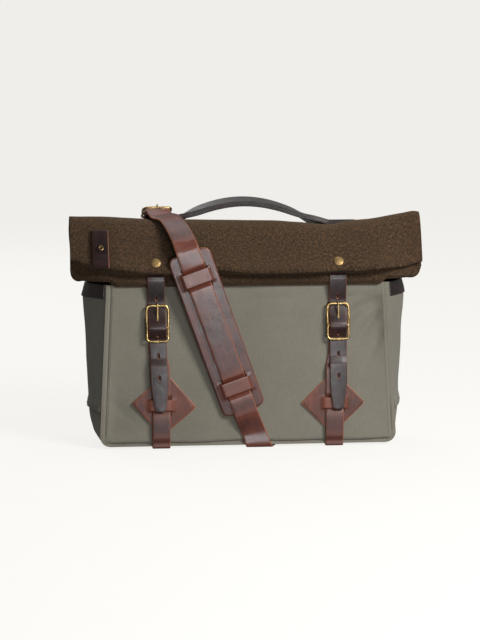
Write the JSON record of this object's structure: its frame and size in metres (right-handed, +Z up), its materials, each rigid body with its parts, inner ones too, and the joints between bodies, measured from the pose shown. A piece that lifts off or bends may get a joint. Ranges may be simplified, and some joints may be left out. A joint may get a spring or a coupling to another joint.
{
  "type": "musette bag",
  "caption": "Roll-top messenger bag: creased canvas body, folded wool top, leather carry handle, buckled straps and a padded shoulder strap.",
  "frame": {"origin": "middle of the underside of the bag's box, on the surface that the bag stands on", "axes": "+Z up, front towards -Y, +X to the right of someone who looks at the front"},
  "size_m": [0.418, 0.1268, 0.2892],
  "materials": {
    "canvas": "matt twill",
    "tweed": "wool tweed",
    "dark_leather": "waxed",
    "red_leather": "waxed, pull-up",
    "tan_leather": "waxed",
    "brass": "antique"
  },
  "bodies": {
    "root": {"front_panel": "canvas", "back_panel": "canvas", "base_panel": "canvas", "gusset_left": "canvas", "gusset_right": "canvas", "tweed_top": "tweed", "gusset_patch_left": "dark_leather", "gusset_patch_right": "dark_leather", "handle": "dark_leather", "handle_rivet_1": "brass", "handle_rivet_2": "brass", "handle_rivet_3": "brass", "handle_rivet_4": "brass", "flap_strap_left": "dark_leather", "flap_strap_right": "dark_leather", "flap_rivet_left": "brass", "flap_rivet_right": "brass", "buckle_frame_left": "brass", "buckle_frame_right": "brass", "prong_left": "brass", "prong_right": "brass", "lower_strap_left": "red_leather", "lower_strap_right": "red_leather", "lower_rivet_left": "brass", "lower_rivet_right": "brass", "diamond_patch_left": "tan_leather", "diamond_patch_right": "tan_leather", "shoulder_strap": "red_leather", "shoulder_strap_short": "red_leather", "shoulder_pad": "red_leather", "shoulder_buckle_frame": "brass", "shoulder_prong": "brass", "anchor_rivet_left": "brass", "anchor_rivet_right": "brass", "tag": "dark_leather", "tag_rivet": "brass"}
  },
  "joints": []
}
